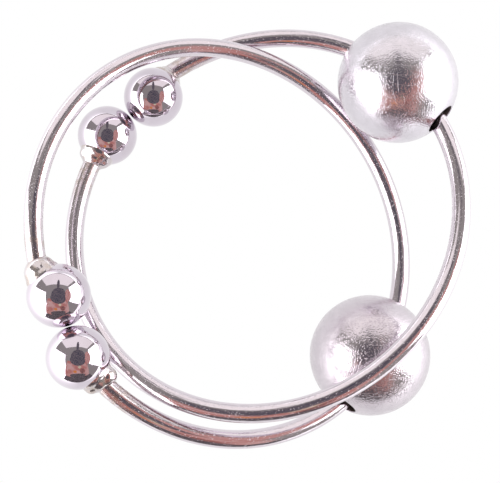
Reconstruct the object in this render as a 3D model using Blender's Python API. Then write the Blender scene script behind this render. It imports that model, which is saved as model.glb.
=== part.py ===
"""Ring disentanglement puzzle: two linked wire rings, each with a loose sliding ball.

Units are metres and +Z is up.  The origin is the bottom centre of the object's bounding box.
Each ring is modelled flat in its own frame, with its centre at the origin and its gap
towards +X, and an empty then carries the finished ring to where it lies.
"""
import math

import bmesh
import bpy
from mathutils import Matrix, Vector

MM = 0.001

# Wire rings
WIRE_DIAMETER = 3.0 * MM
RING_HALF_WIDTH = 33.0 * MM      # centreline, square to the line through the gap
RING_HALF_LENGTH = 30.7 * MM     # centreline, along the line through the gap
WIRE_STEPS = 80
WIRE_BEVEL_RESOLUTION = 4        # gives 12 sides

# End balls that close each gap, soldered on the wire's ends
END_BALL_DIAMETER = 10.0 * MM
END_BALL_GAP = 0.1 * MM          # the two balls all but touch
WIRE_END_PAST_BALL_CENTRE = 1.0 * MM

# Sliding balls, hollow shells with oversize holes
SLIDING_BALL_DIAMETER = 20.0 * MM
SLIDING_BALL_WALL = 1.0 * MM
SLIDING_BALL_HOLE = 5.4 * MM

FIT_GAP = 0.3 * MM               # between soldered faces and around inserted wire

END_BALL_SIDES, END_BALL_RINGS = 24, 16
BEAD_SIDES, BEAD_RINGS = 18, 12
SLIDING_BALL_SIDES, SLIDING_BALL_ARC_STEPS = 28, 12

# Where each ring lies.  "rise" is the bearing in which its plane climbs and "slope" is how
# steeply; "gap" turns the ring in its own plane, from the rise bearing.  Offsets of the
# balls are in the ring's plane, towards its centre, and square to the plane.  "solder" is
# how far the bead stands out around the wire.
RINGS = {
    "a": {
        "centre": (-3.87 * MM, -1.21 * MM, 12.54 * MM),
        "slope": math.radians(18.65),
        "rise": math.radians(211.9),
        "gap": math.radians(-3.1),
        "ball_bearing": math.radians(114.4),
        "ball_inset": 1.64 * MM,
        "ball_lift": 0.82 * MM,
        "slide_centre": (2.0 * MM, 0.0),
        "ends": (
            {"name": "lower", "inset": -0.2 * MM, "lift": -0.25 * MM, "solder": 0.8 * MM},
            {"name": "upper", "inset": 1.8 * MM, "lift": 0.0, "solder": 1.1 * MM},
        ),
    },
    "b": {
        "centre": (2.59 * MM, 2.4 * MM, 13.53 * MM),
        "slope": math.radians(18.95),
        "rise": math.radians(292.0),
        "gap": math.radians(-150.9),
        "ball_bearing": math.radians(-95.5),
        "ball_inset": 1.28 * MM,
        "ball_lift": 0.69 * MM,
        "slide_centre": (1.75 * MM, -1.0 * MM),
        "ends": (
            {"name": "left", "inset": -0.35 * MM, "lift": -0.64 * MM, "solder": 0.8 * MM},
            {"name": "right", "inset": 1.77 * MM, "lift": 0.34 * MM, "solder": 0.7 * MM},
        ),
    },
}

# Ring B swings about a line that passes close by its two resting contacts with ring A
SWING_START = Vector((-1.63, 31.01, 1.57)) * MM
SWING_END = Vector((-26.53, -16.86, 24.72)) * MM

COLOURS = {
    "polished_wire": ((0.62, 0.59, 0.60), 0.12),
    "polished_ball": ((0.70, 0.67, 0.69), 0.06),
    "satin_ball": ((0.66, 0.63, 0.65), 0.32),
    "solder": ((0.62, 0.58, 0.54), 0.22),
}


def clear_scene():
    for item in list(bpy.data.objects):
        bpy.data.objects.remove(item, do_unlink=True)


def metal(name):
    material = bpy.data.materials.new(name)
    material.use_nodes = True
    shader = material.node_tree.nodes["Principled BSDF"]
    colour, roughness = COLOURS[name]
    shader.inputs["Base Color"].default_value = (*colour, 1.0)
    shader.inputs["Metallic"].default_value = 1.0
    shader.inputs["Roughness"].default_value = roughness
    return material


def add_empty(name, matrix, parent=None):
    empty = bpy.data.objects.new(name, None)
    empty.empty_display_size = 5 * MM
    bpy.context.collection.objects.link(empty)
    empty.parent = parent
    empty.matrix_local = matrix
    return empty


def add_mesh(name, mesh_builder, parent, matrix, material=None):
    """Put the shape that a bmesh builder makes in a new object under its parent."""
    mesh = bpy.data.meshes.new(name)
    shape = bmesh.new()
    mesh_builder(shape)
    bmesh.ops.recalc_face_normals(shape, faces=shape.faces)
    shape.to_mesh(mesh)
    shape.free()
    mesh.shade_smooth()
    item = bpy.data.objects.new(name, mesh)
    bpy.context.collection.objects.link(item)
    item.parent = parent
    item.matrix_local = matrix
    if material:
        mesh.materials.append(material)
    return item


def cut(item, cutter):
    """Cut one object out of another with a live Boolean."""
    cutter.hide_render = True
    cutter.display_type = "WIRE"
    boolean = item.modifiers.new("cut_" + cutter.name, "BOOLEAN")
    boolean.operation = "DIFFERENCE"
    boolean.solver = "EXACT"
    boolean.object = cutter


def ring_point(bearing):
    """A point on the ring's oval centreline, in the ring's own frame."""
    return Vector((RING_HALF_LENGTH * math.cos(bearing), RING_HALF_WIDTH * math.sin(bearing), 0))


def ring_tangent(bearing):
    along = Vector((-RING_HALF_LENGTH * math.sin(bearing), RING_HALF_WIDTH * math.cos(bearing), 0))
    return along.normalized()


def on_ring(bearing, inset, lift):
    """A frame on the ring: Z along the wire, X towards the ring's centre, Y square to both."""
    along = ring_tangent(bearing)
    inward = Vector((-along.y, along.x, 0))
    position = ring_point(bearing) + inward * inset + Vector((0, 0, lift))
    across = along.cross(inward)
    frame = Matrix((inward, across, along)).transposed().to_4x4()
    return Matrix.Translation(position) @ frame


def bearing_at(distance):
    """Ring bearing whose point is this far to the side of the gap's middle."""
    return math.asin(distance / RING_HALF_WIDTH)


def ring_frame(ring):
    """Where the ring lies: turned in its plane, tipped up, and turned to its rise bearing."""
    turn = (
        Matrix.Rotation(ring["rise"], 4, "Z")
        @ Matrix.Rotation(-ring["slope"], 4, "Y")
        @ Matrix.Rotation(ring["gap"], 4, "Z")
    )
    return Matrix.Translation(ring["centre"]) @ turn


def add_wire(name, parent, matrix, material):
    """Oval wire, open at the gap, whose ends reach into both end balls."""
    start = bearing_at((END_BALL_DIAMETER + END_BALL_GAP) / 2 + WIRE_END_PAST_BALL_CENTRE)
    curve = bpy.data.curves.new(name, "CURVE")
    curve.dimensions = "3D"
    curve.twist_mode = "Z_UP"
    curve.bevel_depth = WIRE_DIAMETER / 2
    curve.bevel_resolution = WIRE_BEVEL_RESOLUTION
    curve.use_fill_caps = True
    spline = curve.splines.new("POLY")
    spline.points.add(WIRE_STEPS)
    for step, point in enumerate(spline.points):
        bearing = start + (2 * math.pi - 2 * start) * step / WIRE_STEPS
        point.co = (*ring_point(bearing), 1.0)
    curve.materials.append(material)
    wire = bpy.data.objects.new(name, curve)
    bpy.context.collection.objects.link(wire)
    wire.parent = parent
    wire.matrix_local = matrix
    return wire


def sphere(diameter, sides, rings):
    def build(shape):
        bmesh.ops.create_uvsphere(shape, u_segments=sides, v_segments=rings, radius=diameter / 2)
    return build


def rod(diameter, start, end, sides=16):
    """A cutter along Z."""
    def build(shape):
        middle = Matrix.Translation((0, 0, (start + end) / 2))
        bmesh.ops.create_cone(
            shape, cap_ends=True, segments=sides, radius1=diameter / 2, radius2=diameter / 2,
            depth=end - start, matrix=middle,
        )
    return build


def hollow_ball(shape):
    """Turned shell about Z: the outer arc from hole to hole, then the inner arc back."""
    outer = SLIDING_BALL_DIAMETER / 2
    inner = outer - SLIDING_BALL_WALL
    hole = SLIDING_BALL_HOLE / 2
    profile = []
    for radius, direction in ((outer, 1), (inner, -1)):
        edge = math.asin(hole / radius)
        for step in range(SLIDING_BALL_ARC_STEPS + 1):
            share = step / SLIDING_BALL_ARC_STEPS
            polar = edge + (math.pi - 2 * edge) * (share if direction > 0 else 1 - share)
            profile.append(shape.verts.new((radius * math.sin(polar), 0, radius * math.cos(polar))))
    edges = [shape.edges.new((first, second)) for first, second in zip(profile, profile[1:])]
    edges.append(shape.edges.new((profile[-1], profile[0])))
    bmesh.ops.spin(
        shape, geom=edges, cent=(0, 0, 0), axis=(0, 0, 1), dvec=(0, 0, 0),
        angle=2 * math.pi, steps=SLIDING_BALL_SIDES, use_merge=True, use_duplicate=False,
    )
    bmesh.ops.remove_doubles(shape, verts=shape.verts, dist=0.001 * MM)


def add_end(letter, end, side, frame_empty, base, materials):
    """End ball with a blind hole for the wire, and the solder bead around the wire."""
    half_pitch = (END_BALL_DIAMETER + END_BALL_GAP) / 2
    bearing = side * bearing_at(half_pitch)
    ball_frame = base @ on_ring(bearing, end["inset"], end["lift"])
    label = letter + "_" + end["name"]
    ball_shape = sphere(END_BALL_DIAMETER, END_BALL_SIDES, END_BALL_RINGS)
    ball = add_mesh("end_ball_" + label, ball_shape, frame_empty, ball_frame, materials["polished_ball"])

    # A straight hole, square to the wire halfway between the wire's end and the bead's top.
    # The wire runs towards +Z here on the first side of the gap and towards -Z on the second
    bead_diameter = WIRE_DIAMETER + 2 * end["solder"]
    bead_top = (END_BALL_DIAMETER + bead_diameter) / 2
    halfway = (WIRE_END_PAST_BALL_CENTRE + bead_top) / 2
    wire_line = base @ on_ring(side * bearing_at(half_pitch + halfway), 0.0, 0.0)
    reach = END_BALL_DIAMETER
    pocket = halfway - WIRE_END_PAST_BALL_CENTRE + FIT_GAP
    span = (-pocket, reach) if side > 0 else (-reach, pocket)
    hole_shape = rod(WIRE_DIAMETER + 2 * FIT_GAP, *span)
    hole = add_mesh("wire_hole_" + label, hole_shape, frame_empty, wire_line)
    cut(ball, hole)

    # Solder: a dome on the ball where the wire goes in, clear of the ball and of the wire
    centre = (ball_frame.inverted() @ wire_line).translation
    outward = Vector((0, 0, 1 if side > 0 else -1))
    off_axis = centre - outward * centre.dot(outward)
    depth = math.sqrt((END_BALL_DIAMETER / 2) ** 2 - off_axis.length_squared)
    bead_frame = ball_frame @ Matrix.Translation(off_axis + outward * depth)
    bead_shape = sphere(bead_diameter, BEAD_SIDES, BEAD_RINGS)
    bead = add_mesh("solder_bead_" + label, bead_shape, frame_empty, bead_frame, materials["solder"])
    seat_shape = sphere(END_BALL_DIAMETER + 2 * FIT_GAP, END_BALL_SIDES, END_BALL_RINGS)
    seat = add_mesh("bead_seat_" + label, seat_shape, frame_empty, ball_frame)
    cut(bead, seat)
    cut(bead, hole)


def add_ring(letter, frame_empty, base, materials):
    """One ring with its end balls, solder beads and sliding ball."""
    ring = RINGS[letter]
    add_wire("ring_" + letter + "_wire", frame_empty, base, materials["polished_wire"])
    for end, side in zip(ring["ends"], (1, -1)):
        add_end(letter, end, side, frame_empty, base, materials)
    slide = add_empty(
        "slide_axis_" + letter, base @ Matrix.Translation((*ring["slide_centre"], 0)), frame_empty
    )
    ball_frame = on_ring(ring["ball_bearing"], ring["ball_inset"], ring["ball_lift"])
    from_slide = Matrix.Translation((-ring["slide_centre"][0], -ring["slide_centre"][1], 0))
    add_mesh("sliding_ball_" + letter, hollow_ball, slide, from_slide @ ball_frame, materials["satin_ball"])


def main():
    clear_scene()
    materials = {name: metal(name) for name in COLOURS}

    ring_a = add_empty("ring_a_frame", ring_frame(RINGS["a"]))
    add_ring("a", ring_a, Matrix.Identity(4), materials)

    swing_direction = (SWING_END - SWING_START).to_track_quat("Z", "Y").to_matrix().to_4x4()
    swing_frame = Matrix.Translation(SWING_START) @ swing_direction
    ring_b = add_empty("swing_axis", swing_frame)
    add_ring("b", ring_b, swing_frame.inverted() @ ring_frame(RINGS["b"]), materials)


main()
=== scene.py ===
# %% [markdown]
# # Two linked wire rings with loose balls
# The object is a small metal puzzle that lies on a table. Each ring is a length of steel wire bent
# to an oval. Its two ends are soldered into a pair of small polished balls, and a larger hollow
# ball slides loosely along it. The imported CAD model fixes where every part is, and this script
# builds the finished look around it: smooth wires, polished balls, rough solder and satin shells.

# %% Load the frame
import math

import bpy
import numpy as np
from mathutils import Matrix, Vector


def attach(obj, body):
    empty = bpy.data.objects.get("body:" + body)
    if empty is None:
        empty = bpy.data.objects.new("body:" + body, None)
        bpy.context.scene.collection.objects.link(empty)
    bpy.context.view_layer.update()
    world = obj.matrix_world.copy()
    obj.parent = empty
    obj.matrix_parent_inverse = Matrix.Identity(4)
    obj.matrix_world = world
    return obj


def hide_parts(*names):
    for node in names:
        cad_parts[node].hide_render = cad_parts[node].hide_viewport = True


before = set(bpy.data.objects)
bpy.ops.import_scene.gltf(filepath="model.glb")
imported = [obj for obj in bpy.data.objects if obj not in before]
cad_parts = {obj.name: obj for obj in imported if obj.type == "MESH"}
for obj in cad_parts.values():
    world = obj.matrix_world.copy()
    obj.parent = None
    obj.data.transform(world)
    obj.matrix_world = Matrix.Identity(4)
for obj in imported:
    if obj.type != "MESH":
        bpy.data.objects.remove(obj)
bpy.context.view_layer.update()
bpy.ops.object.select_all(action="DESELECT")

MM = 0.001

# %% [markdown]
# ## Camera
# The puzzle is seen from straight above, close up, so the balls that stand higher look a little
# larger. The camera hangs 190 mm over a point near the middle of the rings. A long lens with a
# tilt of under two degrees frames the whole puzzle.

# %% Camera
TARGET = Vector((0.15, -1.68, 10.0)) * MM
CAMERA_DISTANCE = 190 * MM
CAMERA_TILT = (math.radians(-0.45), math.radians(-1.75), 0)
LENS_MM, SENSOR_MM = 82.3, 36
NEAREST_SEEN = 10 * MM
bpy.ops.object.camera_add(rotation=CAMERA_TILT)
camera = bpy.context.object
camera.name = "overhead_camera"
camera.data.lens = LENS_MM
camera.data.sensor_width = SENSOR_MM
camera.data.clip_start = NEAREST_SEEN
camera.location = TARGET + camera.rotation_euler.to_matrix() @ Vector((0, 0, CAMERA_DISTANCE))
bpy.context.scene.camera = camera
bpy.context.scene.view_settings.view_transform = "Standard"
print("camera at", [round(v / MM, 1) for v in camera.location], "mm")

# %% [markdown]
# ## Where things are
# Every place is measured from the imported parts. A wire is symmetrical about its own plane and
# about the line through its gap, so its principal axes are exactly the ring's own axes. A ball's
# centre comes from a least-squares sphere through its points, because a hole in its side would
# pull the middle of its box away.

# %% Sizes and measuring
WIRE_RADIUS = 1.5 * MM
RING_HALF_WIDTH = 33.0 * MM
RING_HALF_LENGTH = 30.7 * MM
END_BALL_RADIUS = 5.0 * MM
SLIDING_BALL_RADIUS = 10.0 * MM
SLIDING_BALL_WALL = 1.0 * MM
SLIDING_HOLE_RADIUS = 2.7 * MM
OUTER_SHARE = 0.97               # points this far out, of the farthest, are a ball's outside


def points_of(node):
    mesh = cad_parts[node].data
    points = np.empty(len(mesh.vertices) * 3)
    mesh.vertices.foreach_get("co", points)
    return points.reshape(-1, 3)


def ball_centre(node):
    """Centre of the sphere that best fits the outer points of a ball."""
    points = points_of(node)
    distance = np.linalg.norm(points - points.mean(axis=0), axis=1)
    for _ in range(3):
        outer = points[distance > OUTER_SHARE * distance.max()]
        terms = np.c_[2 * outer, np.ones(len(outer))]
        centre = np.linalg.lstsq(terms, (outer ** 2).sum(axis=1), rcond=None)[0][:3]
        distance = np.linalg.norm(points - centre, axis=1)
    return Vector(centre)


def ring_frame(letter, end_nodes):
    """The ring's own frame: X towards its gap, Z up out of its plane, at the oval's centre."""
    points = points_of(f"ring_{letter}_wire")
    middle = points.mean(axis=0)
    axes = np.linalg.eigh(np.cov((points - middle).T))[1]
    normal, towards_gap = Vector(axes[:, 0]), Vector(axes[:, 1])
    gap = sum((ball_centre(node) for node in end_nodes), Vector()) / 2
    towards_gap *= math.copysign(1, towards_gap.dot(gap - Vector(middle)))
    normal *= math.copysign(1, normal.z)
    sideways = normal.cross(towards_gap)
    turn = np.array((towards_gap, sideways, normal))
    low, high = (points @ turn.T).min(axis=0), (points @ turn.T).max(axis=0)
    centre = (low + high) / 2
    centre[0] = low[0] + RING_HALF_LENGTH + WIRE_RADIUS
    return Matrix.Translation(Vector(centre @ turn)) @ Matrix(turn).transposed().to_4x4()


ENDS = {"a": ("lower", "upper"), "b": ("left", "right")}
rings = {}
for letter, names in ENDS.items():
    rings[letter] = ring_frame(letter, [f"end_ball_{letter}_{name}" for name in names])
    print("ring", letter, "centre", [round(v / MM, 2) for v in rings[letter].translation])


# %% [markdown]
# ## Tools for the pieces
# Each piece is modelled round the origin, with its axis along Z, and is then carried to its place
# on the ring. The place is baked into the mesh, so that the object itself stays at the origin as
# the CAD parts do. These helpers do that, register the piece and hide the CAD part it stands for.

# %% Helpers
finished = []


def settle(piece, place):
    """Bake a piece's place into its mesh."""
    bpy.ops.object.select_all(action="DESELECT")
    piece.select_set(True)
    bpy.context.view_layer.objects.active = piece
    piece.matrix_world = place
    bpy.ops.object.transform_apply(location=True, rotation=True, scale=True)


def apply_modifier(piece, kind, **settings):
    bpy.context.view_layer.objects.active = piece
    modifier = piece.modifiers.new(kind.lower(), kind)
    for name, value in settings.items():
        setattr(modifier, name, value)
    bpy.ops.object.modifier_apply(modifier=modifier.name)


def register(piece, name, node, body):
    """Name a finished piece, give it to its body and let it stand for its CAD part."""
    piece.name = piece.data.name = name
    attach(piece, body)
    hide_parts(node)
    finished.append(piece)
    corners = [Vector(corner) for corner in piece.bound_box]
    spans = [max(c[i] for c in corners) - min(c[i] for c in corners) for i in range(3)]
    size = " x ".join(f"{span / MM:.1f}" for span in spans)
    print(f"{name}: {len(piece.data.polygons)} faces, {size}")


def frame_along(position, along, side):
    """A frame with Z along one direction and X as near as it can be to another."""
    along = along.normalized()
    side = (side - along * side.dot(along)).normalized()
    turn = Matrix((side, along.cross(side), along)).transposed().to_4x4()
    return Matrix.Translation(position) @ turn


def ring_place(letter, position):
    """The ring's nearest centreline point and the wire's direction there, for a ball on it."""
    local = rings[letter].inverted() @ position
    bearing = math.atan2(local.y / RING_HALF_WIDTH, local.x / RING_HALF_LENGTH)
    point, along = Vector(), Vector()
    for _ in range(4):
        across, up = math.cos(bearing), math.sin(bearing)
        point = Vector((RING_HALF_LENGTH * across, RING_HALF_WIDTH * up, 0))
        along = Vector((-RING_HALF_LENGTH * up, RING_HALF_WIDTH * across, 0))
        bearing += (local - point).dot(along) / along.length_squared
    return rings[letter] @ point, (rings[letter].to_3x3() @ along).normalized()


# %% [markdown]
# ## Wires
# A wire like this is drawn through a die, cut and bent round a former, so its section stays round
# and its surface carries fine lines along its length. A circle of points is stretched to the oval,
# the points in the gap are deleted, and the open line becomes a curve with a round bevel. Scaling
# a torus would be quicker, but it would flatten the wire at two sides.

# %% Wires
WIRE_POINTS = 360
WIRE_SIDES_SETTING = 14          # gives 32 sides
WIRE_END_REACH = 6.2 * MM        # how far each end is from the gap's middle
SAME_POINT = 0.001 * MM          # points nearer than this are one point


def make_wire(letter):
    bpy.ops.mesh.primitive_circle_add(vertices=WIRE_POINTS, radius=1)
    wire = bpy.context.object
    bpy.ops.object.mode_set(mode="EDIT")
    bpy.ops.transform.resize(value=(RING_HALF_LENGTH, RING_HALF_WIDTH, 1))
    bpy.ops.mesh.select_all(action="DESELECT")
    bpy.ops.object.mode_set(mode="OBJECT")
    for vertex in wire.data.vertices:
        vertex.select = vertex.co.x > 0 and abs(vertex.co.y) < WIRE_END_REACH
    bpy.ops.object.mode_set(mode="EDIT")
    bpy.ops.mesh.delete(type="VERT")
    bpy.ops.object.mode_set(mode="OBJECT")
    bpy.ops.object.convert(target="CURVE")
    wire.data.twist_mode = "Z_UP"
    wire.data.bevel_depth = WIRE_RADIUS
    wire.data.bevel_resolution = WIRE_SIDES_SETTING
    wire.data.use_fill_caps = True
    bpy.ops.object.convert(target="MESH")
    wire = bpy.context.object
    settle(wire, rings[letter])
    bpy.ops.object.mode_set(mode="EDIT")
    bpy.ops.mesh.select_all(action="SELECT")
    bpy.ops.mesh.remove_doubles(threshold=SAME_POINT)
    bpy.ops.mesh.normals_make_consistent(inside=False)
    bpy.ops.object.mode_set(mode="OBJECT")
    bpy.ops.object.shade_smooth_by_angle(angle=math.radians(40))
    register(wire, f"wire_{letter}", f"ring_{letter}_wire", f"ring_{letter}")


for letter in ENDS:
    make_wire(letter)


# %% [markdown]
# ## End balls
# The small balls are solid and mirror bright. Each is drilled off its centre where the wire goes
# in. A mirror shows every dent, so the sphere is dense, and its poles lie on the line through the
# pair, one of them against the other ball. A Boolean drills the blind hole, and the solder covers
# its edge.

# %% End balls
BALL_SIDES, BALL_RINGS, DRILL_SIDES = 128, 80, 48
HOLE_CLEARANCE = 0.25 * MM
HOLE_RADIUS = WIRE_RADIUS + HOLE_CLEARANCE
HOLE_DEPTH = 4.4 * MM


def make_end_ball(letter, name):
    node = f"end_ball_{letter}_{name}"
    centre = ball_centre(node)
    on_wire, along = ring_place(letter, centre)
    ring_up = rings[letter].to_3x3() @ Vector((0, 0, 1))
    other = next(n for n in ENDS[letter] if n != name)
    away = centre - ball_centre(f"end_ball_{letter}_{other}")
    along *= math.copysign(1, along.dot(away))
    # The wire goes in where its own line meets the ball's surface
    entry, leaving = on_wire, along
    for _ in range(4):
        reach = END_BALL_RADIUS ** 2 - (entry - centre).length_squared
        entry, leaving = ring_place(letter, entry + leaving * reach / (2 * END_BALL_RADIUS))
        leaving *= math.copysign(1, leaving.dot(away))
    bpy.ops.mesh.primitive_uv_sphere_add(
        segments=BALL_SIDES, ring_count=BALL_RINGS, radius=END_BALL_RADIUS)
    ball = bpy.context.object
    settle(ball, frame_along(centre, away, ring_up))
    bpy.ops.mesh.primitive_cylinder_add(
        vertices=DRILL_SIDES, radius=HOLE_RADIUS, depth=2 * HOLE_DEPTH)
    drill = bpy.context.object
    settle(drill, frame_along(entry, leaving, ring_up))
    apply_modifier(ball, "BOOLEAN", object=drill, operation="DIFFERENCE", solver="EXACT")
    bpy.data.objects.remove(drill)
    ball.select_set(True)
    bpy.ops.object.shade_smooth_by_angle(angle=math.radians(35))
    register(ball, f"end_ball_polished_{letter}_{name}", node, f"ring_{letter}")
    return centre, entry, leaving


end_places = {}
for letter, names in ENDS.items():
    for name in names:
        end_places[letter, name] = make_end_ball(letter, name)


# %% [markdown]
# ## Solder
# Solder is melted on where a wire goes into its ball. It wets both, and it freezes in a lump with
# a spread foot that is never the same twice. A single dome would look turned on a lathe, so each
# bead is a few overlapping drops: a voxel remesh melts them into one skin, and smoothing rounds
# the valleys between them as surface tension does.

# %% Solder beads
# Each drop: sideways, upwards and outwards from the place where the wire goes in, radius and
# flatness, in mm. Sideways is level, to the left of the wire as it leaves the ball.
DROPS = {
    ("a", "lower"): ((0.0, 0.0, -0.6, 2.3, 1.0), (1.2, 0.3, 0.15, 1.65, 1.0),
                     (-1.3, 0.2, -0.35, 1.5, 0.9), (0.0, 0.0, -1.1, 2.9, 0.6)),
    ("a", "upper"): ((0.0, 0.0, -0.6, 2.65, 1.0), (-0.4, 0.1, -0.3, 2.3, 1.0),
                     (0.0, 0.0, -1.1, 3.0, 0.62)),
    ("b", "left"): ((0.0, 0.0, -0.7, 2.4, 1.0), (1.35, 0.2, -0.35, 1.4, 0.9),
                    (-1.35, 0.2, -0.4, 1.45, 0.9), (0.0, 0.0, -1.1, 3.0, 0.62)),
    ("b", "right"): ((0.0, 0.0, -0.9, 2.25, 0.9), (-1.0, 0.3, -0.4, 1.25, 0.9),
                     (0.0, 0.0, -1.15, 2.85, 0.56)),
}
DROP_SIDES, DROP_RINGS = 32, 20
BEAD_VOXEL = 0.13 * MM
MELTING_STEPS = 22


def make_bead(letter, name):
    centre, entry, leaving = end_places[letter, name]
    outward = (entry - centre).normalized()
    seat = centre + outward * END_BALL_RADIUS
    place = frame_along(seat, outward, Vector((0, 0, 1)).cross(leaving))
    drops = []
    for sideways, up, out, radius, flatness in DROPS[letter, name]:
        bpy.ops.mesh.primitive_uv_sphere_add(
            segments=DROP_SIDES, ring_count=DROP_RINGS, radius=radius * MM,
            location=(sideways * MM, up * MM, out * MM), scale=(1, 1, flatness))
        drops.append(bpy.context.object)
    bpy.ops.object.select_all(action="DESELECT")
    for drop in drops:
        drop.select_set(True)
    bead = bpy.context.view_layer.objects.active = drops[0]
    bpy.ops.object.join()
    bpy.ops.object.transform_apply(location=True, rotation=True, scale=True)
    apply_modifier(bead, "REMESH", mode="VOXEL", voxel_size=BEAD_VOXEL, use_smooth_shade=True)
    apply_modifier(bead, "SMOOTH", factor=0.5, iterations=MELTING_STEPS)
    settle(bead, place)
    bpy.ops.object.shade_smooth()
    node = f"solder_bead_{letter}_{name}"
    register(bead, f"solder_{letter}_{name}", node, f"ring_{letter}")


for key in DROPS:
    make_bead(*key)


# %% [markdown]
# ## Sliding balls
# The larger balls are thin shells with a hole at each end, wide enough to let the wire slip
# through. Solidify gives a sphere its wall. The holes are drilled straight through at its poles,
# because cutting the sphere before it gets its wall would leave holes that narrow inwards and catch
# on the curved wire. The drill has as many sides as the ball has, so the cut leaves pairs of points
# a hair apart. They are merged first, because the fine bevel that then breaks the edges would make
# loose slivers of them.

# %% Sliding balls
SHELL_SIDES, SHELL_RINGS = 144, 96
HOLE_EDGE, EDGE_STEPS = 0.18 * MM, 3
HAIR_APART = 0.02 * MM


def make_sliding_ball(letter):
    node = f"sliding_ball_{letter}"
    centre = ball_centre(node)
    along = ring_place(letter, centre)[1]
    ring_up = rings[letter].to_3x3() @ Vector((0, 0, 1))
    bpy.ops.mesh.primitive_uv_sphere_add(
        segments=SHELL_SIDES, ring_count=SHELL_RINGS, radius=SLIDING_BALL_RADIUS)
    shell = bpy.context.object
    apply_modifier(shell, "SOLIDIFY", thickness=SLIDING_BALL_WALL, offset=-1,
                   use_even_offset=True)
    bpy.ops.object.select_all(action="DESELECT")
    bpy.ops.mesh.primitive_cylinder_add(
        vertices=SHELL_SIDES, radius=SLIDING_HOLE_RADIUS, depth=3 * SLIDING_BALL_RADIUS)
    drill = bpy.context.object
    apply_modifier(shell, "BOOLEAN", object=drill, operation="DIFFERENCE", solver="EXACT")
    bpy.data.objects.remove(drill)
    shell.select_set(True)
    drilled = len(shell.data.vertices)
    bpy.ops.object.mode_set(mode="EDIT")
    bpy.ops.mesh.select_all(action="SELECT")
    bpy.ops.mesh.remove_doubles(threshold=HAIR_APART)
    bpy.ops.object.mode_set(mode="OBJECT")
    print("shell", letter, "merged", drilled - len(shell.data.vertices), "points")
    apply_modifier(shell, "BEVEL", width=HOLE_EDGE, segments=EDGE_STEPS, limit_method="ANGLE",
                   angle_limit=math.radians(40))
    settle(shell, frame_along(centre, along, ring_up))
    bpy.ops.object.shade_smooth_by_angle(angle=math.radians(50))
    register(shell, f"sliding_shell_{letter}", node, node)
    return shell


shells = {letter: make_sliding_ball(letter) for letter in ENDS}


# %% [markdown]
# ## Shader maths
# The finishes are built from nodes. A small class stands for a socket, so that sums on sockets read
# as ordinary arithmetic and each operation adds its Math node.

# %% Shader helpers
class Signal:
    """A number that varies over a surface."""

    def __init__(self, sheet, socket):
        self.sheet, self.socket = sheet, socket

    def maths(self, operation, *values):
        return self.sheet.node("ShaderNodeMath", {"operation": operation}, dict(enumerate(values)))

    def __add__(self, other): return self.maths("ADD", self, other)
    def __radd__(self, other): return self.maths("ADD", other, self)
    def __sub__(self, other): return self.maths("SUBTRACT", self, other)
    def __rsub__(self, other): return self.maths("SUBTRACT", other, self)
    def __mul__(self, other): return self.maths("MULTIPLY", self, other)
    def __rmul__(self, other): return self.maths("MULTIPLY", other, self)
    def __truediv__(self, other): return self.maths("DIVIDE", self, other)
    def __pow__(self, other): return self.maths("POWER", self, other)
    def __abs__(self): return self.maths("ABSOLUTE", self)

    def between(self, low, high):
        """Rises from 0 to 1 as this goes from low to high."""
        return self.sheet.node(
            "ShaderNodeMapRange", {"interpolation_type": "SMOOTHSTEP"},
            {"Value": self, "From Min": low, "From Max": high})


class Sheet:
    """A node tree whose nodes are added by kind, settings and socket values."""

    def __init__(self, tree):
        self.tree = tree

    def node(self, kind, settings, sockets, output=0):
        node = self.tree.nodes.new(kind)
        for name, value in settings.items():
            if name == "stops":
                for stop, (position, tint) in zip(node.color_ramp.elements, value):
                    stop.position, stop.color = position, tint
            else:
                setattr(node, name, value)
        for name, value in sockets.items():
            self.feed(node.inputs[name], value)
        return Signal(self, node.outputs[output])

    def feed(self, socket, value):
        if isinstance(value, Signal):
            self.tree.links.new(value.socket, socket)
        else:
            socket.default_value = value


class Finish(Sheet):
    """A metal: the tree of a new material, with its shader at hand."""

    def __init__(self, name):
        self.material = bpy.data.materials.new(name)
        self.material.use_nodes = True
        super().__init__(self.material.node_tree)
        self.shader = self.tree.nodes["Principled BSDF"]
        self.shader.inputs["Metallic"].default_value = 1
        self.place = self.node("ShaderNodeTexCoord", {}, {}, "Object")

    def set(self, **sockets):
        for name, value in sockets.items():
            self.feed(self.shader.inputs[name.replace("_", " ")], value)

    def noise(self, per_mm, detail=2.0, roughness=0.5, place=None):
        return self.node("ShaderNodeTexNoise", {}, {
            "Vector": place or self.place, "Scale": per_mm / MM,
            "Detail": detail, "Roughness": roughness})

    def mix(self, amount, first, second):
        """A colour between two, by an amount."""
        return self.node("ShaderNodeMix", {"data_type": "RGBA"},
                         {"Factor": amount, 6: first, 7: second}, 2)

    def bump(self, height, depth_mm, below=None):
        """A normal from a height of 0 to 1, whose full depth is given."""
        sockets = {"Strength": 1.0, "Distance": depth_mm * MM, "Height": height}
        if below:
            sockets["Normal"] = below
        return self.node("ShaderNodeBump", {}, sockets)

    def scratches(self, per_mm, stretch, turn, thin):
        """Thin straight marks: 1 on a mark, 0 beside it."""
        lined = self.node("ShaderNodeMapping", {}, {
            "Vector": self.place, "Rotation": turn, "Scale": stretch})
        wave = self.noise(per_mm, 1.0, 0.5, lined)
        return 1 - abs(wave - 0.5).between(0, thin)


def colour(red, green, blue):
    return (red, green, blue, 1.0)
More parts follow.
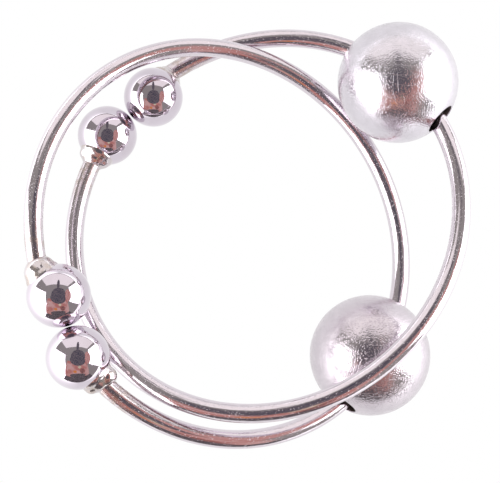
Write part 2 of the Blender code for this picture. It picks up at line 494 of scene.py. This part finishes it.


# %% [markdown]
# ## Finishes
# All are metal, so each colour is that of its reflection. Their lilac tint is a painted reflection
# of lilac shade on the floor, laid over the metal's own grey. The end balls are polished to a
# mirror with only a faint ripple. The wire is bright too, but drawn and handled, so it has lines
# and scuffs, and burned flux by its solder. The sliding balls are dimpled all over, with a finer
# grain on the dimples, so they sparkle and blur what they mirror, and inside they are painted dark
# brown as painted shade in the hollow.
# Solder is smooth and lumpy, with a warm film. A finish is a few noises: each drives one colour
# mix, roughness or bump, and every bump's depth is in millimetres.

# %% Polished balls
# The lilac in both colours is a painted reflection of lilac shade on the floor; the grey under it
# is the metal's own.
POLISH_WITH_LILAC_REFLECTION, TARNISH_WITH_LILAC_REFLECTION = colour(0.67, 0.61, 0.68), colour(0.62, 0.56, 0.62)


def polished_ball():
    finish = Finish("polished_ball")
    ripple = finish.noise(0.35, 2.0)
    pits = finish.noise(6.0, 1.0).between(0.68, 0.78)
    tarnish = finish.noise(0.25, 4.0, 0.6).between(0.35, 0.75)
    finish.set(Base_Color=finish.mix(tarnish, POLISH_WITH_LILAC_REFLECTION, TARNISH_WITH_LILAC_REFLECTION),
               Roughness=0.035 + 0.03 * tarnish + 0.1 * pits,
               Normal=finish.bump(pits, -0.002, finish.bump(ripple, 0.012)))
    return finish.material


# %% Satin balls
DIMPLES_PER_MM = 3.3
WORN_SHADE = 0.92


def satin_ball(letter, dimple_depth, tint):
    """A tumbled shell: dimples that sparkle, over a fine grain that blurs."""
    finish = Finish(f"satin_ball_{letter}")
    cells = finish.node("ShaderNodeTexVoronoi", {"feature": "F1"}, {
        "Vector": finish.place, "Scale": DIMPLES_PER_MM / MM})
    dimples = cells.between(0.0, 0.6)
    fine = finish.noise(7.0, 2.0, 0.6)
    cloud = finish.noise(0.3, 3.0, 0.6)
    marks = (finish.scratches(0.6, (1, 0.08, 1), (0.3, 0.2, 0.9), 0.008)
             + finish.scratches(0.5, (0.06, 1, 1), (0.1, 0.5, -0.4), 0.007))
    worn = tuple(WORN_SHADE * channel for channel in tint)
    grain = finish.bump(fine, 0.008, finish.bump(dimples, dimple_depth))
    finish.set(Base_Color=finish.mix(cloud.between(0.3, 0.7), colour(*tint), colour(*worn)),
               Roughness=0.15 + 0.06 * cloud,
               Normal=finish.bump(marks, -0.008, grain))
    return finish.material


# %% Inside of the satin balls
INSIDE_BELOW = 0.25 * MM         # faces deeper than this under the ball's surface are inside
# Painted shade: the inside is coloured dark brown, darker in random patches, as the hollow looks in
# shade.
INSIDE_PAINTED_SHADE, INSIDE_DEEPER_PAINTED_SHADE = colour(0.16, 0.13, 0.12), colour(0.07, 0.055, 0.05)


def shell_inside():
    """The inside of a shell, painted dark brown as painted shade in the hollow, darker in random
    patches.
    """
    finish = Finish("shell_inside")
    darker_patches = finish.noise(0.5, 4.0, 0.6).between(0.35, 0.7)
    finish.set(Base_Color=finish.mix(darker_patches, INSIDE_PAINTED_SHADE, INSIDE_DEEPER_PAINTED_SHADE),
               Roughness=0.45 + 0.2 * darker_patches,
               Normal=finish.bump(finish.noise(4.0, 3.0), 0.01))
    return finish.material


# %% Wire
# The lilac in the two bright wire colours is a painted reflection of lilac shade on the floor; the
# grey under it is the metal's own, and the burned flux is real.
DRAWN_WITH_LILAC_REFLECTION, SCUFFED_WITH_LILAC_REFLECTION = colour(0.71, 0.65, 0.70), colour(0.62, 0.57, 0.59)
BURNED = colour(0.40, 0.31, 0.25)
FLUX_MIDDLE, FLUX_DEEP, FLUX_GONE = 3 * MM, 1.5 * MM, 6.5 * MM


def polished_wire(letter):
    """Bright drawn wire: fine lines run along it, in the ring's own frame."""
    finish = Finish(f"polished_wire_{letter}")
    home = rings[letter].inverted()
    local = finish.node("ShaderNodeMapping", {"vector_type": "POINT"}, {
        "Vector": finish.place, "Location": home.translation, "Rotation": home.to_euler()})
    split = finish.node("ShaderNodeSeparateXYZ", {}, {0: local}).socket.node
    x, y, z = (Signal(finish, output) for output in split.outputs)
    oval = ((x / RING_HALF_LENGTH) ** 2 + (y / RING_HALF_WIDTH) ** 2) ** 0.5
    lines_at = finish.node("ShaderNodeCombineXYZ", {}, {
        "X": oval * RING_HALF_WIDTH, "Y": z, "Z": 0.03 * x + 0.04 * y})
    lines = finish.noise(2.4, 4.0, 0.6, lines_at)
    scuffs = finish.noise(1.6, 6.0, 0.75).between(0.52, 0.72)
    pits = finish.noise(5.0, 1.0).between(0.66, 0.76)
    # Burned flux lies on the wire just past each bead
    burned = None
    for name in ENDS[letter]:
        _, entry, leaving = end_places[letter, name]
        away = finish.node("ShaderNodeVectorMath", {"operation": "DISTANCE"},
                           {0: finish.place, 1: entry + leaving * FLUX_MIDDLE}, "Value")
        near = 1 - away.between(FLUX_DEEP, FLUX_GONE)
        burned = near if burned is None else burned + near
    burned = burned * finish.noise(1.1, 5.0, 0.7).between(0.35, 0.65)
    bright = finish.mix(scuffs * 0.5, DRAWN_WITH_LILAC_REFLECTION, SCUFFED_WITH_LILAC_REFLECTION)
    finish.set(Base_Color=finish.mix(burned * 0.7, bright, BURNED),
               Roughness=0.07 + 0.08 * scuffs + 0.22 * burned,
               Normal=finish.bump(pits, -0.02, finish.bump(lines, 0.03)))
    return finish.material


# %% Solder
# The lilac in the clean solder colour is a painted reflection of lilac shade on the floor; the warm
# film is real.
SOLDER_WITH_LILAC_REFLECTION, FILMED_SOLDER = colour(0.64, 0.59, 0.61), colour(0.55, 0.48, 0.45)


def solder():
    finish = Finish("solder")
    lumps = finish.noise(0.9, 3.0, 0.55)
    film = finish.noise(0.7, 4.0, 0.6).between(0.42, 0.62)
    finish.set(Base_Color=finish.mix(film, SOLDER_WITH_LILAC_REFLECTION, FILMED_SOLDER),
               Roughness=0.08 + 0.14 * film,
               Normal=finish.bump(lumps, 0.07))
    return finish.material


# %% Give each piece its finish
# The two shells differ a little in grain and tint. The lilac in both tints is a painted reflection
# of lilac shade on the floor, over the metal's own grey.
FINISHES = {
    "end_ball": polished_ball(), "solder": solder(),
    "sliding_shell_a": satin_ball("a", 0.034, (0.67, 0.61, 0.66)),
    "sliding_shell_b": satin_ball("b", 0.026, (0.72, 0.68, 0.735)),
    "wire_a": polished_wire("a"), "wire_b": polished_wire("b")}
for piece in finished:
    chosen = next(m for start, m in FINISHES.items() if piece.name.startswith(start))
    piece.data.materials.clear()
    piece.data.materials.append(chosen)
inside = shell_inside()
for letter, shell in shells.items():
    shell.data.materials.append(inside)
    middle = ball_centre(f"sliding_ball_{letter}")
    inside_radius = SLIDING_BALL_RADIUS - INSIDE_BELOW
    for face in shell.data.polygons:
        face.material_index = int((face.center - middle).length < inside_radius)
print("finishes:", len(FINISHES), "pieces:", len(finished))


# %% [markdown]
# ## Studio
# Metal shows its surroundings more than itself, so the studio is part of the look. The puzzle lies
# on a glowing white table. Two softboxes stand at its left and right and a paler panel behind it,
# and the front is dark. A glowing brick-red card stands for a cloth that leans over the front edge,
# with dark cards on it as painted shade in its folds. Over the puzzle hang the dark discs of a
# camera and its body, with a dark stand behind, a rose card at the right, and small spots of warm
# and pale light. The puzzle could be lit by an image of a room, but panels can be moved one by one
# until each reflection sits where it should. Only reflections see them, so they block no view.

# %% Stage helpers
def glow(name, tint, strength, second=None, patches=None):
    """A glowing finish, plain or patched with a second tint like a crumpled cloth."""
    material = bpy.data.materials.new(name)
    material.use_nodes = True
    sheet = Sheet(material.node_tree)
    nodes = sheet.tree.nodes
    nodes.remove(nodes["Principled BSDF"])
    shade = colour(*tint)
    if second:
        cloth = sheet.node("ShaderNodeTexNoise", {}, {
            "Vector": sheet.node("ShaderNodeTexCoord", {}, {}, "Object"),
            "Scale": patches, "Detail": 3.0})
        shade = sheet.node("ShaderNodeValToRGB", {
            "stops": ((0.42, colour(*tint)), (0.58, colour(*second)))}, {0: cloth})
    light = sheet.node("ShaderNodeEmission", {}, {"Color": shade, "Strength": strength})
    sheet.feed(nodes["Material Output"].inputs[0], light)
    return material


def mirror_only(card, name, finish):
    """Show a panel or card in reflections and nowhere else."""
    card.name = name
    card.data.materials.append(finish)
    card.visible_camera = card.visible_shadow = card.visible_diffuse = False


def upright(name, centre, width, height, facing, finish):
    """An upright panel that stands on the table, turned about Z only."""
    bpy.ops.mesh.primitive_plane_add(size=1, location=centre)
    card = bpy.context.object
    card.rotation_euler = (math.radians(90), 0, math.radians(facing))
    card.scale = (width, height, 1)
    mirror_only(card, name, finish)


DISC_SIDES = 48


def overhead(name, bearing, height, distance, size, finish, rounded=False):
    """A card or disc that faces the puzzle from a bearing and a height, both in degrees."""
    round_z, up = math.radians(bearing), math.radians(height)
    away = Vector((math.cos(round_z) * math.cos(up), math.sin(round_z) * math.cos(up),
                   math.sin(up)))
    if rounded:
        bpy.ops.mesh.primitive_circle_add(vertices=DISC_SIDES, radius=0.5, fill_type="NGON")
    else:
        bpy.ops.mesh.primitive_plane_add(size=1)
    card = bpy.context.object
    card.location = away * distance
    card.rotation_euler = away.to_track_quat("Z", "Y").to_euler()
    card.scale = (*size, 1)
    mirror_only(card, name, finish)


# %% Softboxes and cards
WHITE, WARM_WHITE = (1, 1, 1), (1.0, 0.96, 0.94)
NAVY, DARK, SMOKE = (0.075, 0.075, 0.105), (0.075, 0.065, 0.07), (0.22, 0.19, 0.20)
BRICK, ROSE = (0.56, 0.23, 0.20), (0.72, 0.46, 0.42)
ORANGE, PALE = (0.75, 0.28, 0.09), (0.75, 0.70, 0.50)
SOFTBOX_GLOW, BACK_GLOW = 3.4, 1.18
# Name, centre, width and height in metres, facing in degrees, finish
UPRIGHTS = (
    ("softbox_left", (-0.40, -0.31, 0.24), 0.88, 0.48, 90, glow("left_light", WHITE, SOFTBOX_GLOW)),
    ("softbox_right", (0.40, 0.06, 0.21), 0.50, 0.42, 90, glow("right_light", WHITE, SOFTBOX_GLOW)),
    ("panel_back", (-0.02, 0.50, 0.30), 1.04, 0.52, 0, glow("back_light", WARM_WHITE, BACK_GLOW)),
    ("front_gap", (-0.01, -0.36, 0.08), 0.50, 0.15, 0, glow("front_dark", DARK, 1.0, SMOKE, 9.0)))
# Name, bearing and height in degrees, distance and size in metres, finish
DISCS = (
    ("rose_card", 2, 56, 0.30, (0.22, 0.11), glow("rose", ROSE, 1.0, BRICK, 7.0)),
    # The next two dark cards are painted shade on the cloth, in its lower part and in a fold.
    ("cloth_shade", 268, 29, 0.37, (0.28, 0.13), glow("cloth_dark", DARK, 1.0, SMOKE, 9.0)),
    ("cloth_fold", 289, 44, 0.38, (0.10, 0.12), glow("cloth_fold", DARK, 1.0, BRICK, 9.0)),
    ("camera_disc", 100, 86, 0.20, (0.17, 0.16), glow("camera", NAVY, 1.0, SMOKE, 11.0)),
    ("camera_body", 258, 81, 0.20, (0.18, 0.12), glow("camera_body", NAVY, 1.0, SMOKE, 11.0)),
    ("stand_card", 92, 50, 0.30, (0.045, 0.19), glow("stand", NAVY, 1.0, SMOKE, 9.0)),
    ("warm_spot", 258, 45, 0.34, (0.06, 0.055), glow("orange", ORANGE, 1.0)),
    ("pale_spot", 281, 60, 0.34, (0.05, 0.055), glow("pale", PALE, 1.0)))
for row in UPRIGHTS:
    upright(*row)
overhead("cloth_card", 268, 50, 0.42, (0.60, 0.50), glow("cloth", BRICK, 1.0, ROSE, 3.0))
for row in DISCS:
    overhead(*row, rounded=True)
print("upright panels:", len(UPRIGHTS), "and discs:", len(DISCS), "with one cloth")

# %% [markdown]
# ## Table
# The table glows more brightly to the left and right, so that the sides of the metal get lighter
# edges. A puzzle held in the hand swings a ring below the height at which it lies. So the table is
# clear from below and hidden from the camera, which sees the same white behind it, and a second one
# lies further down. Only what is above the table mirrors it, so a ball that swings through it still
# shows an edge there.

# %% Table
TABLE_GLOW, TABLE_GLOW_FAR = 1.0, 2.2
NEAR_SIDE, FAR_SIDE = 0.03, 0.16
TABLE_SIZE, LOWER_TABLE = 6, -0.15


def table_finish():
    """A white glow, stronger to the sides, that is clear from below."""
    material = glow("white_table", WHITE, TABLE_GLOW)
    sheet = Sheet(material.node_tree)
    emission = sheet.tree.nodes["Emission"]
    place = sheet.node("ShaderNodeTexCoord", {}, {}, "Object")
    sideways = abs(sheet.node("ShaderNodeSeparateXYZ", {}, {0: place}, "X"))
    pool = sheet.node("ShaderNodeMapRange", {}, {
        "Value": sideways, "From Min": NEAR_SIDE, "From Max": FAR_SIDE,
        "To Min": TABLE_GLOW, "To Max": TABLE_GLOW_FAR})
    sheet.feed(emission.inputs["Strength"], pool)
    underneath = sheet.node("ShaderNodeNewGeometry", {}, {}, "Backfacing")
    clear = sheet.node("ShaderNodeBsdfTransparent", {}, {})
    light = Signal(sheet, emission.outputs[0])
    one_sided = sheet.node("ShaderNodeMixShader", {}, {0: underneath, 1: light, 2: clear})
    sheet.feed(sheet.tree.nodes["Material Output"].inputs[0], one_sided)
    return material


white_table = table_finish()
bpy.ops.mesh.primitive_plane_add(size=TABLE_SIZE, location=(0, 0, 0))
table = bpy.context.object
table.name = "table"
table.data.materials.append(white_table)
table.visible_camera = False
bpy.ops.mesh.primitive_plane_add(size=TABLE_SIZE, location=(0, 0, LOWER_TABLE))
mirror_only(bpy.context.object, "lower_table", white_table)
print("tables at 0 and", LOWER_TABLE / MM, "mm")

# %% Room and background
ROOM, BACKDROP = colour(0.36, 0.34, 0.325), colour(1, 1, 1)
world = bpy.data.worlds.new("studio")
bpy.context.scene.world = world
world.use_nodes = True
sheet = Sheet(world.node_tree)
room = sheet.tree.nodes["Background"]
room.inputs["Color"].default_value = ROOM
backdrop = sheet.node("ShaderNodeBackground", {}, {"Color": BACKDROP})
seen = sheet.node("ShaderNodeLightPath", {}, {}, "Is Camera Ray")
choose = sheet.node("ShaderNodeMixShader", {}, {
    0: seen, 1: Signal(sheet, room.outputs[0]), 2: backdrop})
sheet.feed(sheet.tree.nodes["World Output"].inputs[0], choose)
print("world:", world.name)
